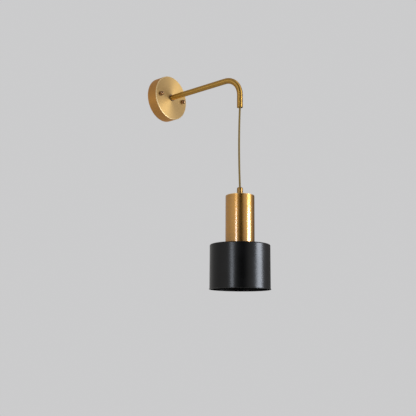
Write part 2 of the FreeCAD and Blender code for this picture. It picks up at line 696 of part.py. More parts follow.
def make_earth_connection():
    """The ring tag, spring washer and screw on the bar's ear."""
    ear_face = f"0 - {BAR_END_FRONT}"
    tag_face = f"{ear_face} - tag_thickness"
    washer_face = f"{tag_face} - spring_washer_height"
    barrel_top = f"{EAR_SCREW_Z} - m4_head_radius - stud_tip_gap"
    plate = cylinder("tag_plate", "tag_radius", "tag_thickness",
                     ("ear_centre", ear_face, EAR_SCREW_Z), INTO_ROOM)
    neck_foot = f"({barrel_top} - tag_barrel_radius)"
    neck = box("tag_neck_strip", "tag_neck", "tag_thickness", f"{EAR_SCREW_Z} - {neck_foot}",
               ("ear_centre - tag_neck / 2", tag_face, neck_foot))
    barrel_y = f"{ear_face} - tag_barrel_radius"
    barrel_foot = f"{barrel_top} - tag_barrel_length"
    barrel = cylinder("tag_barrel", "tag_barrel_radius", "tag_barrel_length",
                      ("ear_centre", barrel_y, barrel_foot))
    hole = cylinder("tag_hole", M4_HOLE, "tag_thickness",
                    ("ear_centre", ear_face, EAR_SCREW_Z), INTO_ROOM)
    bore = cylinder("tag_bore", "core_radius + thread_gap", "tag_barrel_length",
                    ("ear_centre", barrel_y, barrel_foot))
    cut("earth_tag", fuse("tag_solid", [plate, neck, barrel]), [hole, bore])
    ring("earth_spring_washer", "m4_head_radius", M4_HOLE, "spring_washer_height",
         ("ear_centre", tag_face, EAR_SCREW_Z), INTO_ROOM)
    length = "tag_thickness + spring_washer_height + bar_thickness + earth_screw_tail"
    headed_screw("earth_screw", "m4_radius", length, "m4_head_radius", "m4_head_height",
                 ("ear_centre", washer_face, EAR_SCREW_Z), TO_WALL)


def make_canopy_wires():
    """The cord's three cores run from its sheath to the block, and a lead joins block and ear."""
    sheath = f"0 - {SHEATH_BACK}"
    turn_y = "0 - 2 * bar_thickness - core_radius"
    entry = f"{BLOCK_TOP} - block_width / 2 + 2 * core_radius"
    for name, way, angle in (
        ("canopy_core_brown", -1, 150), ("canopy_core_blue", 0, 270), ("canopy_core_earth", 1, 30)
    ):
        across = f"{way} * way_spacing"
        start_x = f"({CORE_OFFSET} * cos({angle} * 1deg))"
        start_z = f"({CORE_OFFSET} * sin({angle} * 1deg))"
        cord(name, [
            (start_x, sheath, start_z),
            (start_x, turn_y, start_z),
            (f"{across} * 0.8", turn_y, f"{BLOCK_TOP} / 2"),
            (across, WAY_Y, f"{BLOCK_TOP} + 2 * core_radius"),
            (across, WAY_Y, entry),
        ], "core_radius")
    tag_y = f"0 - {BAR_END_FRONT} - tag_barrel_radius"
    cord("earth_lead", [
        ("ear_centre", tag_y, f"{EAR_SCREW_Z} - m4_head_radius - 3 * core_radius"),
        ("ear_centre", tag_y, f"{EAR_SCREW_Z} - 15"),
        ("ear_centre - 10", tag_y, f"{EAR_SCREW_Z} - 24"),
        ("way_spacing + 10", WAY_Y, f"{EAR_SCREW_Z} - 28"),
        ("way_spacing", WAY_Y, f"{EAR_SCREW_Z} - 28.5"),
        ("way_spacing", WAY_Y, f"{BLOCK_TOP} - block_width / 2 - 2 * core_radius"),
    ], "core_radius")


def make_arm_cord():
    """The bush in the tube's end and the cord from the canopy to it, held all the way."""
    mouth = f"({CORD_HOLE} + bush_mouth_depth * tan(bush_mouth_angle * 1deg))"
    turned("tube_end_bush", [
        (mouth, "0"), ("arm_radius - arm_wall - thread_gap", "0"),
        ("arm_radius - arm_wall - thread_gap", "bush_height"), (CORD_HOLE, "bush_height"),
        (CORD_HOLE, "bush_mouth_depth"),
    ], hanging(BUSH_FOOT))
    cord("cord_in_arm", [
        ("0", f"0 - {SHEATH_BACK}", "0"),
        hanging("0"),
        hanging(f"{EXIT_Z} + cord_radius + seat_gap"),
    ], "cord_radius", bend="arm_bend")


# ---- Cord and pendant ----------------------------------------------------------------------------

def make_hanging_cord():
    """The cord bends at the tube's open end, so a round joint there parts it from the tube."""
    joint = document.addObject("Part::Sphere", "cord_at_exit")
    bind(joint, "Radius", "cord_radius")
    place(joint, hanging(EXIT_Z))
    top = f"({EXIT_Z} - cord_radius - seat_gap)"
    cord("hanging_cord", [hanging(top), hanging(GRIP_TOP)], "cord_radius")


def make_cord_grip():
    """A brass grip with a thread below, a cord hole above and a clamping screw at the back."""
    owner = turned("cord_grip", [
        (PIPE_THREAD, "0"), ("grip_radius", "0"), ("grip_radius", "grip_height"),
        (CORD_HOLE, "grip_height"), (CORD_HOLE, "grip_thread_depth"),
        (PIPE_THREAD, "grip_thread_depth"),
    ], hanging(SLEEVE_TOP))
    round_edges(owner, [("grip_radius", "grip_height")], "grip_round")
    side = sketch(owner, "grip_side", "XZ_Plane")
    circle(side, "0", "grip_screw_height", M3_THREAD)
    hole_through(owner, side, one_way=True)
    cylinder("grip_screw", "m3_radius", "grip_radius - cord_radius - thread_gap",
             ("0", f"{DROP_Y} + cord_radius + thread_gap", f"{SLEEVE_TOP} + grip_screw_height"),
             TO_WALL)


def make_sleeve():
    inside = "sleeve_radius - sleeve_wall"
    under_top = "sleeve_height - sleeve_top"
    owner = turned("sleeve", [
        (inside, "0"), ("sleeve_radius", "0"), ("sleeve_radius", "sleeve_height"),
        (PIPE_HOLE, "sleeve_height"), (PIPE_HOLE, under_top), (inside, under_top),
    ], hanging(SHADE_TOP))
    round_edges(owner, [("sleeve_radius", "sleeve_height")], "sleeve_round")
    washer_foot = f"{SLEEVE_TOP} - sleeve_top - pipe_washer_height"
    ring("sleeve_washer", "pipe_washer_radius", PIPE_HOLE, "pipe_washer_height",
         hanging(washer_foot))
    hex_nut("sleeve_nut", "pipe_nut_flats", "pipe_nut_height", PIPE_THREAD,
            hanging(f"{washer_foot} - pipe_nut_height"))
    ring("pendant_pipe", "pipe_radius", "pipe_bore",
         f"{SLEEVE_TOP} + pendant_pipe_in_grip - {PIPE_FOOT}", hanging(PIPE_FOOT))


def make_shade():
    """A drum with a closed top, an open mouth and a rolled lip."""
    inside = "shade_radius - shade_wall"
    under_top = "shade_height - shade_wall"
    lip = "shade_radius + lip_width"
    hole = "skirt_radius + hole_gap"
    owner = turned("shade", [
        (inside, "0"), (lip, "0"), (lip, "lip_height"), ("shade_radius", "lip_height"),
        ("shade_radius", "shade_height"), (hole, "shade_height"), (hole, under_top),
        (inside, under_top),
    ], hanging(SHADE_FOOT))
    round_edges(owner, [("shade_radius", "shade_height")], "shade_round")
    return round_edges(owner, [(lip, "0"), (lip, "lip_height")], "lip_round")


def make_shade_rings():
    """Two rings on the lampholder's skirt clamp the shade's top between them."""
    bore = "skirt_radius + thread_gap"
    upper = ring("upper_shade_ring", "ring_radius", bore, "ring_height", hanging(SHADE_TOP))
    round_edges(upper, [("ring_radius", "ring_height")], "ring_round")
    foot = f"{SHADE_TOP} - shade_wall - lower_ring_height"
    lower = ring("lower_shade_ring", "lower_ring_radius", bore, "lower_ring_height", hanging(foot))
    round_edges(lower, [("lower_ring_radius", "0")], "ring_round")


def make_holder_cap():
    """The cap screws on the pipe and is locked to it by a screw in its neck."""
    inside = "cap_radius - cap_wall"
    shoulder = "(cap_side + cap_dome)"
    under = f"({shoulder} - cap_wall)"
    owner = turned("holder_cap", [
        (inside, "0"), ("cap_radius", "0"), ("cap_radius", "cap_side"),
        ("neck_radius", shoulder), ("neck_radius", f"{shoulder} + neck_height"),
        (PIPE_THREAD, f"{shoulder} + neck_height"), (PIPE_THREAD, under),
        (inside, "cap_side - cap_wall"),
    ], hanging(SKIRT_TOP))
    side = sketch(owner, "neck_side", "XZ_Plane")
    circle(side, "0", f"{shoulder} + neck_height / 2", M3_THREAD)
    hole_through(owner, side, one_way=True)
    cylinder("holder_cap_screw", "m3_radius", f"neck_radius - {PIPE_THREAD}",
             ("0", f"{DROP_Y} + {PIPE_THREAD}", f"{NECK_TOP} - neck_height / 2"),
             TO_WALL)


def make_holder():
    """The skirt, ceramic insert, screw shell and centre contact of the lampholder."""
    seat = "ceramic_radius + hole_gap"
    turned("holder_skirt", [
        ("skirt_bore", "0"), ("skirt_radius", "0"), ("skirt_radius", "skirt_height"),
        (seat, "skirt_height"), (seat, "insert_seat"), ("skirt_bore", "insert_seat"),
    ], hanging(SKIRT_RIM))
    cylinder("holder_ceramic", "ceramic_radius", "ceramic_height", hanging(CERAMIC_FOOT))
    shell = "(skirt_bore - thread_gap * 2)"
    shell_height = "(insert_seat - shell_lip)"
    turned("screw_shell", [
        (f"{shell} - shell_wall", "0"), (shell, "0"), (shell, shell_height),
        ("shell_top_bore", shell_height), ("shell_top_bore", f"{shell_height} - shell_wall"),
        (f"{shell} - shell_wall", f"{shell_height} - shell_wall"),
    ], hanging(f"{SKIRT_RIM} + shell_lip"))
    turned("centre_contact", [
        ("0", "0"), ("contact_radius", "0"), ("contact_radius", "contact_thickness"),
        ("contact_stem", "contact_thickness"), ("contact_stem", "contact_drop"),
        ("0", "contact_drop"),
    ], hanging(CONTACT_FOOT))


def make_holder_terminals():
    """Three posts on the ceramic, each with a radial wire hole and a screw on top."""
    posts = []
    screws = []
    sheath_foot = f"{PIPE_FOOT} - sheath_in_cap"
    wire_z = f"{CERAMIC_TOP} + post_wire_height"
    for core, angle in (("brown", 210), ("blue", 330), ("earth", 90)):
        outwards = Rotation(Vector(0, 0, 1), angle)
        across, along = f"cos({angle} * 1deg)", f"sin({angle} * 1deg)"
        post = body(f"post_{core}", hanging(CERAMIC_TOP), outwards)
        foot = sketch(post, f"post_{core}_foot", "XY_Plane")
        rectangle(foot, "post_offset - post_size / 2", "post_offset + post_size / 2",
                  "0 - post_size / 2", "post_size / 2")
        pad(post, foot, "post_height")
        document.recompute()
        top = sketch(post, f"post_{core}_thread", "XY_Plane")
        circle(top, "post_offset", "0", M3_THREAD)
        hole_through(post, top)
        side = sketch(post, f"post_{core}_wire", "YZ_Plane")
        circle(side, "0", "post_wire_height", "core_radius + thread_gap")
        hole_through(post, side)
        posts.append(post)
        screws.append(headed_screw(
            f"post_screw_{core}", "m3_radius", "post_screw_depth", "m3_head_radius",
            "m3_head_height", (f"post_offset * {across}", f"{DROP_Y} + post_offset * {along}",
                               f"{CERAMIC_TOP} + post_height"), DOWN))
        start = (f"{CORE_OFFSET} * {across}", f"{DROP_Y} + {CORE_OFFSET} * {along}")
        end = (f"post_offset * {across}", f"{DROP_Y} + post_offset * {along}")
        cord(f"holder_core_{core}", [
            (*start, sheath_foot), (*start, wire_z), (*end, wire_z),
        ], "core_radius")
    group("holder_terminals", posts)
    group("holder_terminal_screws", screws)
    cord("cord_in_pendant", [hanging(GRIP_TOP), hanging(sheath_foot)], "cord_radius")


def make_bulb():
    """A small round lamp: contact, insulator, screw cap, collar, light plate and envelope."""
    cylinder("bulb_contact", "tip_radius", "tip_height", hanging(f"{CONTACT_FOOT} - tip_height"))
    turned("bulb_insulator", [
        ("0", "0"), ("insulator_radius", "0"), ("tip_radius", "insulator_height"),
        ("0", "insulator_height"),
    ], hanging(BULB_CAP_TOP))
    inside = "bulb_cap_radius - bulb_cap_wall"
    under_top = "bulb_cap_length - bulb_cap_wall"
    turned("bulb_cap", [
        (inside, "0"), ("bulb_cap_radius", "0"), ("bulb_cap_radius", "bulb_cap_length"),
        ("tip_radius", "bulb_cap_length"), ("tip_radius", under_top), (inside, under_top),
    ], hanging(BULB_COLLAR_TOP))
    chord = f"({BULB_COLLAR_FOOT} - {BULB_CENTRE})"
    rim = f"sqrt(bulb_radius * bulb_radius - {chord} * {chord})"
    rim_inside = f"{rim} - bulb_collar_wall"
    neck_inside = "bulb_cap_radius - bulb_collar_wall"
    turned("bulb_collar", [
        (rim_inside, "0"), (rim, "0"), ("bulb_cap_radius", "bulb_collar_height"),
        (neck_inside, "bulb_collar_height"), (rim_inside, "led_plate_height"),
    ], hanging(BULB_COLLAR_FOOT))
    cylinder("led_plate", f"{rim_inside} - thread_gap", "led_plate_height",
             hanging(BULB_COLLAR_FOOT))
    ball = document.addObject("Part::Sphere", "bulb_ball")
    bind(ball, "Radius", "bulb_radius")
    place(ball, hanging(BULB_CENTRE))
    hollow = document.addObject("Part::Sphere", "bulb_hollow")
    bind(hollow, "Radius", "bulb_radius - bulb_glass")
    place(hollow, hanging(BULB_CENTRE))
    lid = cylinder("bulb_lid", "bulb_radius", "bulb_radius * 2", hanging(BULB_COLLAR_FOOT))
    cut("bulb_envelope", ball, [hollow, lid])


NODES = [
    "mounting_bar", "canopy_studs", "stud_nuts", "ball_nuts", "canopy", "arm_tube", "arm_collar",
    "arm_nipple", "arm_lock_washer", "arm_nut", "cord_anchor", "anchor_screw", "terminal_block",
    "terminal_inserts", "terminal_screws", "block_fixing_screw", "earth_tag",
    "earth_spring_washer", "earth_screw", "earth_lead", "canopy_core_brown", "canopy_core_blue",
    "canopy_core_earth", "tube_end_bush", "cord_in_arm", "cord_at_exit", "hanging_cord",
    "cord_grip", "grip_screw", "pendant_pipe", "sleeve", "sleeve_washer", "sleeve_nut",
    "cord_in_pendant", "shade", "upper_shade_ring", "lower_shade_ring", "holder_cap",
    "holder_cap_screw", "holder_skirt", "holder_ceramic", "screw_shell", "centre_contact",
    "holder_terminals", "holder_terminal_screws", "holder_core_brown", "holder_core_blue",
    "holder_core_earth", "bulb_contact", "bulb_insulator", "bulb_cap", "bulb_collar",
    "led_plate", "bulb_envelope",
]


def check_document():
    """Stop if any object failed, or if a node isn't the solids it should be."""
    for thing in document.Objects:
        if {"Invalid", "Error"} & set(thing.State):
            raise RuntimeError(f"{thing.Label} failed: {thing.State}")
    for node in NODES:
        shape = document.getObject(node).Shape
        count = solids_in.get(node, 1)
        if shape.isNull() or not shape.isValid():
            raise RuntimeError(f"{node} has no valid shape")
        if len(shape.Solids) != count:
            raise RuntimeError(f"{node} has {len(shape.Solids)} solids, not {count}")


def write_parts():
    """Write each node to a file of its own name."""
    os.makedirs("parts", exist_ok=True)
    for node in NODES:
        document.getObject(node).Shape.exportStep(f"parts/{node}.step")


make_mounting_bar()
make_canopy()
make_canopy_screws()
make_arm_tube()
make_arm_fixing()
make_cord_anchor()
make_terminal_block()
make_earth_connection()
make_canopy_wires()
make_arm_cord()
make_hanging_cord()
make_cord_grip()
make_sleeve()
make_shade()
make_shade_rings()
make_holder_cap()
make_holder()
make_holder_terminals()
make_bulb()
document.recompute()
check_document()
write_parts()
print(f"{len(NODES)} nodes written")
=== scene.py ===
import math

import bpy
from mathutils import Matrix, Vector


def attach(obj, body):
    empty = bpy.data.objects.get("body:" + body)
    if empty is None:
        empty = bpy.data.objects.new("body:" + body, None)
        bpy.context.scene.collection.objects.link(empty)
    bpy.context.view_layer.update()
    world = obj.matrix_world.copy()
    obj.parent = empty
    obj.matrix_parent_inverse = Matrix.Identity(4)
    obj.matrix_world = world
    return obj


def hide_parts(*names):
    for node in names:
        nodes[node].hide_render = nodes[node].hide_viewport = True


# A wall light: a round brass canopy carries a bent tube arm, and a cord hangs a brass sleeve over a
# black drum shade from it. Metres, in the CAD's own frame: the wall is Y = 0 and the room is at -Y.

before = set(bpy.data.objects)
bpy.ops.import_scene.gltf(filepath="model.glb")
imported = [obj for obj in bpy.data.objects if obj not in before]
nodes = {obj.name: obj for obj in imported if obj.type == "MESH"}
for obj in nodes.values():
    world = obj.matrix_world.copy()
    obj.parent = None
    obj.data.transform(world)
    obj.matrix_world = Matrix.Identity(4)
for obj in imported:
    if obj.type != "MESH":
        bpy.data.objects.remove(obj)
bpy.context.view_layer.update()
scene = bpy.context.scene

# Sizes and places of the light. The bend's are its centre and the radius of the tube's middle line,
# and RIM_INSET is how far the middle of a rounded rim lies inside both of its faces.
CANOPY_RADIUS = 0.050
CANOPY_FRONT = -0.026
BEND_RADIUS = 0.040
BEND_Y, BEND_Z = -0.182, -0.040
DROP_Y = -0.222
EXIT_Z = -0.067
GRIP_TOP = -0.237
SLEEVE_RADIUS = 0.029
SLEEVE_TOP = -0.254
SHADE_TOP = -0.354
RIM_INSET = 0.0004
DROP_MIDDLE = Vector((0, DROP_Y, -0.3))

# The lines that round pieces are turned about: a place on the line, and the axis it runs along.
Y_AXIS, Z_AXIS = 1, 2
CANOPY_LINE = ((0, 0, 0), Y_AXIS)
DROP_LINE = ((0, DROP_Y, 0), Z_AXIS)


# ---- Camera --------------------------------------------------------------------------------------

CAMERA_PLACE = (-0.99265, -0.97474, -0.51988)
CAMERA_AZIMUTH, CAMERA_ELEVATION, CAMERA_ROLL = -49.877, -10.923, 0.527
CAMERA_LENS, CAMERA_SENSOR = 54.66, 36.0


def directions(azimuth, elevation):
    """The way back to a viewer at this azimuth and elevation in degrees, with its right and up."""
    a, e = math.radians(azimuth), math.radians(elevation)
    back = Vector((math.sin(a) * math.cos(e), -math.cos(a) * math.cos(e), math.sin(e)))
    right = Vector((math.cos(a), math.sin(a), 0))
    return back, right, back.cross(right)


def look(azimuth, elevation, roll=0.0):
    """The turn of a camera or lamp that stands back at this azimuth and elevation."""
    back, right, up = directions(azimuth, elevation)
    r = math.radians(roll)
    x = right * math.cos(r) + up * math.sin(r)
    y = up * math.cos(r) - right * math.sin(r)
    return Matrix((x, y, back)).transposed().to_quaternion()


camera_data = bpy.data.cameras.new("camera")
camera_data.lens = CAMERA_LENS
camera_data.sensor_width = CAMERA_SENSOR
camera_data.clip_start = 0.01
camera = bpy.data.objects.new("camera", camera_data)
camera.rotation_mode = "QUATERNION"
camera.location = CAMERA_PLACE
camera.rotation_quaternion = look(CAMERA_AZIMUTH, CAMERA_ELEVATION, CAMERA_ROLL)
scene.collection.objects.link(camera)
scene.camera = camera


# ---- Cord ----------------------------------------------------------------------------------------

CORD_RADIUS = 0.002
BOW_X, BOW_Y = -0.0011, DROP_Y + 0.0013
BOW_TOP, BOW_LOW = -0.11, -0.19


def cord_curve(name, points, radius):
    """A round cord along one open NURBS spline with these control points."""
    data = bpy.data.curves.new(name, "CURVE")
    data.dimensions = "3D"
    data.bevel_depth = 1.0
    data.bevel_resolution = 8
    data.resolution_u = 24
    data.use_fill_caps = True
    spline = data.splines.new("NURBS")
    spline.points.add(len(points) - 1)
    for point, spot in zip(spline.points, points):
        point.co = (*spot, 1)
        point.radius = radius
    spline.order_u = 3
    spline.use_endpoint_u = True
    piece = bpy.data.objects.new(name, data)
    scene.collection.objects.link(piece)
    return piece


hanging = cord_curve("hanging_cord_braid", [
    (0, DROP_Y, EXIT_Z), (BOW_X, BOW_Y, BOW_TOP), (BOW_X, BOW_Y, BOW_LOW), (0, DROP_Y, GRIP_TOP),
], CORD_RADIUS)
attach(hanging, "cord_run")
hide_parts("hanging_cord")


# ---- Tools for materials -------------------------------------------------------------------------

class Paint:
    """A material whose nodes are added by short calls."""

    def __init__(self, name):
        self.material = bpy.data.materials.new(name)
        self.material.use_nodes = True
        self.tree = self.material.node_tree
        self.shader = self.tree.nodes["Principled BSDF"]
        self.place = self.add("ShaderNodeTexCoord").outputs["Object"]

    def add(self, kind, **settings):
        node = self.tree.nodes.new(kind)
        for key, setting in settings.items():
            setattr(node, key, setting)
        return node

    def put(self, socket, thing):
        """Link an output to a socket, or set the socket to a plain value or an RGB colour."""
        if isinstance(thing, bpy.types.NodeSocket):
            self.tree.links.new(thing, socket)
        elif socket.type == "RGBA":
            socket.default_value = (*thing, 1)
        else:
            socket.default_value = thing

    def math(self, how, *values):
        node = self.add("ShaderNodeMath", operation=how)
        for socket, thing in zip(node.inputs, values):
            self.put(socket, thing)
        return node.outputs[0]

    def weigh(self, *pairs):
        """The sum of outputs times their weights, from (output, weight) pairs."""
        total = None
        for thing, weight in pairs:
            part = self.math("MULTIPLY", thing, weight)
            total = part if total is None else self.math("ADD", total, part)
        return total

    def vector(self, how, *values):
        node = self.add("ShaderNodeVectorMath", operation=how)
        vectors = [socket for socket in node.inputs if socket.type == "VECTOR"]
        for socket, thing in zip(vectors, values):
            self.put(socket, thing)
        return node.outputs["Value" if how in ("LENGTH", "DOT_PRODUCT") else "Vector"]

    def split(self, thing):
        node = self.add("ShaderNodeSeparateXYZ")
        self.put(node.inputs[0], thing)
        return node.outputs[:3]

    def join(self, x, y, z):
        node = self.add("ShaderNodeCombineXYZ")
        for socket, thing in zip(node.inputs, (x, y, z)):
            self.put(socket, thing)
        return node.outputs[0]

    def noise(self, where, scale, detail=2.0, roughness=0.5):
        node = self.add("ShaderNodeTexNoise")
        self.put(node.inputs["Vector"], where)
        self.put(node.inputs["Scale"], scale)
        self.put(node.inputs["Detail"], detail)
        self.put(node.inputs["Roughness"], roughness)
        return node.outputs[0]

    def between(self, amount, low, high, start=0.0, end=1.0, smooth=False):
        """Carry a value from start..end over to low..high."""
        node = self.add("ShaderNodeMapRange")
        if smooth:
            node.interpolation_type = "SMOOTHSTEP"
        for socket, thing in zip(node.inputs, (amount, start, end, low, high)):
            self.put(socket, thing)
        return node.outputs[0]

    def mix(self, amount, low, high):
        """Mix two colours."""
        node = self.add("ShaderNodeMix", data_type="RGBA")
        colours = [socket for socket in node.inputs if socket.type == "RGBA"]
        self.put(node.inputs["Factor"], amount)
        for socket, colour in zip(colours, (low, high)):
            self.put(socket, colour)
        return next(socket for socket in node.outputs if socket.type == "RGBA")

    def bump(self, height, strength, distance, before=None):
        """A bumped normal, on top of the normal from before where there is one."""
        node = self.add("ShaderNodeBump")
        self.put(node.inputs["Height"], height)
        self.put(node.inputs["Strength"], strength)
        self.put(node.inputs["Distance"], distance)
        if before is not None:
            self.put(node.inputs["Normal"], before)
        return node.outputs[0]

    def glow(self, colour, strength=1.0):
        node = self.add("ShaderNodeEmission")
        self.put(node.inputs["Color"], colour)
        self.put(node.inputs["Strength"], strength)
        return node.outputs[0]

    def set(self, **sockets):
        """Set or link sockets of the shader, with _ for a space in their names."""
        for name, thing in sockets.items():
            self.put(self.shader.inputs[name.replace("_", " ")], thing)

    def surface(self, shader):
        """Show this shader on the surface in place of the material's first one."""
        output = next(node for node in self.tree.nodes if node.type == "OUTPUT_MATERIAL")
        self.put(output.inputs["Surface"], shader)


def dim(colour, share):
    """A colour at this share of its brightness."""
    return tuple(part * share for part in colour)


def edge_mask(paint, width):
    """Near 1 on edges and near 0 on flat stretches, from two normals compared."""
    bevel = paint.add("ShaderNodeBevel", samples=4)
    paint.put(bevel.inputs["Radius"], width)
    plain = paint.add("ShaderNodeNewGeometry").outputs["Normal"]
    same = paint.vector("DOT_PRODUCT", bevel.outputs[0], plain)
    return paint.between(same, 1.0, 0.0, 0.86, 0.99, smooth=True)


def round_place(paint, centre, axis):
    """Places about a line: the way straight out from it, and the height along it."""
    parts = list(paint.split(paint.vector("SUBTRACT", paint.place, centre)))
    height = parts[axis]
    parts[axis] = 0.0
    return paint.join(*parts), height


def painted_rim_highlight(paint, line, radius, height, width):
    """Near 1 within this width of a round edge about a line, in patches: the mask of a painted
    highlight.
    """
    way, level = round_place(paint, *line)
    away = paint.vector("LENGTH", paint.join(
        paint.math("SUBTRACT", paint.vector("LENGTH", way), radius),
        paint.math("SUBTRACT", level, height), 0.0))
    near = paint.between(away, 1.0, 0.0, width * 0.4, width, smooth=True)
    highlight_patches = paint.noise(paint.place, 420.0, 3.0)
    return paint.math("MULTIPLY", near, paint.between(highlight_patches, 0.55, 1.0, 0.3, 0.6))


def dusty(paint, top, rough):
    """This roughness, but duller in patches on a level top at this height, where dust settles."""
    height = paint.split(paint.place)[2]
    upper = paint.between(height, 0.0, 1.0, top - 0.0009, top - 0.0003)
    patches = paint.between(paint.noise(paint.place, 70.0, 4.0, 0.6), 0.5, 0.64, 0.35, 0.65)
    return paint.math("ADD", rough, paint.math("MULTIPLY", upper,
                                               paint.math("SUBTRACT", patches, rough)))


# ---- Brushed brass -------------------------------------------------------------------------------

# How quickly the brush lines' noise changes: two ways along the lines, and then across them.
ROUND_LINES = (10.4, 10.4, 5200.0)
ARM_LINES = (160.0, 25.0, 5200.0)
# The least distance from the bend's centre, which keeps the arm's directions off 0.
LEAST = 0.00001


def lines_round(centre, axis):
    """Brush lines that run round a line, over a flat face and down a straight wall."""
    def make(paint):
        way, height = round_place(paint, centre, axis)
        parts = paint.split(paint.vector("NORMALIZE", way))
        first, second = (parts[number] for number in range(3) if number != axis)
        out = paint.vector("LENGTH", way)
        across = paint.math("SUBTRACT" if axis == Y_AXIS else "ADD", out, height)
        return paint.vector("MULTIPLY", paint.join(first, second, across), ROUND_LINES)
    return make


def radial_tangent(axis):
    """The direction round an axis through the origin of the piece."""
    def make(paint):
        return paint.add("ShaderNodeTangent", direction_type="RADIAL", axis=axis).outputs[0]
    return make


def bend_way(paint):
    """How far the tube lies out (below 0) and up (above 0) from the bend's centre.

    The first is 0 on the level stretch before the bend, and the second on the drop after it.
    """
    _, y, z = paint.split(paint.place)
    out = paint.math("MINIMUM", paint.math("SUBTRACT", y, BEND_Y), -LEAST)
    up = paint.math("MAXIMUM", paint.math("SUBTRACT", z, BEND_Z), LEAST)
    past_level = paint.math("LESS_THAN", y, BEND_Y)
    above_drop = paint.math("GREATER_THAN", z, BEND_Z)
    return paint.math("MULTIPLY", out, past_level), paint.math("MULTIPLY", up, above_drop)


def arm_tangent(paint):
    """The direction along the bent arm: level, round the bend, then upright."""
    out, up = bend_way(paint)
    return paint.vector("NORMALIZE", paint.join(0.0, up, paint.math("MULTIPLY", out, -1.0)))


def arm_lines(paint):
    """Brush lines that run round the tube: quick change along it, slow change round it."""
    x, y, z = paint.split(paint.place)
    out, up = bend_way(paint)
    angle = paint.math("ARCTAN2", paint.math("MULTIPLY", out, -1.0), up)
    turn = paint.math("MULTIPLY", angle, BEND_RADIUS)
    level = paint.math("MAXIMUM", paint.math("SUBTRACT", y, BEND_Y), 0.0)
    drop = paint.math("MINIMUM", paint.math("SUBTRACT", z, BEND_Z), 0.0)
    along = paint.math("SUBTRACT", paint.math("SUBTRACT", turn, level), drop)
    return paint.vector("MULTIPLY", paint.join(x, z, along), ARM_LINES)


def brass(name, colour, deep, lines, tangent, turn, roughness, anisotropy, coat, clear=0.17,
          lacquer=1.65, lines_depth=0.16, rim=None, side=None, top=None):
    """Satin brass under a thin lacquer, with fine brush lines.

    deep is the colour in the lines. lines takes the paint and gives the place for the lines' noise,
    with z across them. tangent takes the paint and gives a direction, and turn turns it.
    coat, clear and lacquer are the lacquer's weight, roughness and IOR.
    rim is a round edge given a painted highlight in patches: its line, radius, height and width.
    side is the radius of the canopy's wall and the darker, more saturated brass painted on it as
    shade, and top the height of a dusty level top.
    """
    paint = Paint(name)
    where = lines(paint)
    fine = paint.noise(where, 1.0, 2.0, 0.6)
    wide = paint.noise(paint.vector("MULTIPLY", where, (0.35, 0.35, 0.13)), 1.0, 1.0)
    cloud = paint.noise(paint.place, 38.0, 3.0, 0.55)
    tone = paint.weigh((fine, 0.45), (wide, 0.35), (cloud, 0.2))
    shade = paint.between(tone, 0.0, 1.0, 0.34, 0.66)
    base = paint.mix(shade, deep, colour)
    rough = paint.between(fine, roughness - 0.05, roughness + 0.06, 0.3, 0.7)
    rough = paint.math("ADD", rough, paint.between(cloud, -0.03, 0.03, 0.35, 0.65))
    normal = paint.bump(fine, lines_depth, 0.00002)
    normal = paint.bump(wide, 0.08, 0.00004, normal)
    if side:
        # Painted shade: the canopy's wall gets its own darker, more saturated copy of the brass.
        radius, wall = side
        out = paint.vector("LENGTH", round_place(paint, *CANOPY_LINE)[0])
        base = paint.mix(paint.between(out, 0.0, 1.0, radius - 0.0006, radius), base,
                         paint.mix(shade, dim(wall, 0.88), wall))
    if rim:
        bright = painted_rim_highlight(paint, *rim)
        # Painted highlight: a lighter brass along the rounded rim, in patches, with a little less
        # roughness there.
        base = paint.mix(bright, base, (0.93, 0.70, 0.36))
        rough = paint.math("ADD", rough, paint.math("MULTIPLY", bright, -0.06))
    if top:
        rough = dusty(paint, top, rough)
    paint.set(Base_Color=base, Metallic=1.0, Roughness=rough, Normal=normal,
              Anisotropic=anisotropy, Anisotropic_Rotation=turn, Tangent=tangent(paint),
              Coat_Weight=coat, Coat_Roughness=clear, Coat_IOR=lacquer,
              Specular_Tint=(0.80, 0.58, 0.34))
    return paint.material


canopy_brass = brass(
    "brass_canopy", (0.60, 0.38, 0.125), (0.54, 0.34, 0.105), lines_round(*CANOPY_LINE),
    radial_tangent("Y"), turn=0.25, roughness=0.55, anisotropy=0.55, coat=0.6, clear=0.45,
    lacquer=1.85, rim=(CANOPY_LINE, CANOPY_RADIUS - RIM_INSET, CANOPY_FRONT + RIM_INSET, 0.0014),
    side=(CANOPY_RADIUS - 0.0001, (0.60, 0.275, 0.030)))
sleeve_brass = brass(
    "brass_sleeve", (0.68, 0.345, 0.064), (0.62, 0.305, 0.046), lines_round(*DROP_LINE),
    radial_tangent("Z"), turn=0.25, roughness=0.47, anisotropy=0.92, coat=0.75, clear=0.15,
    lacquer=1.8, lines_depth=0.09, top=SLEEVE_TOP,
    rim=(DROP_LINE, SLEEVE_RADIUS - RIM_INSET, SLEEVE_TOP - RIM_INSET, 0.0015))
grip_brass = brass(
    "brass_grip", (0.38, 0.22, 0.058), (0.33, 0.18, 0.044), lines_round(*DROP_LINE),
    radial_tangent("Z"), turn=0.25, roughness=0.42, anisotropy=0.8, coat=0.4)
arm_brass = brass(
    "brass_arm", (0.53, 0.305, 0.062), (0.43, 0.232, 0.040), arm_lines, arm_tangent,
    turn=0.0, roughness=0.42, anisotropy=0.9, coat=0.3, lines_depth=0.08)


# ---- Other metals and plastics -------------------------------------------------------------------

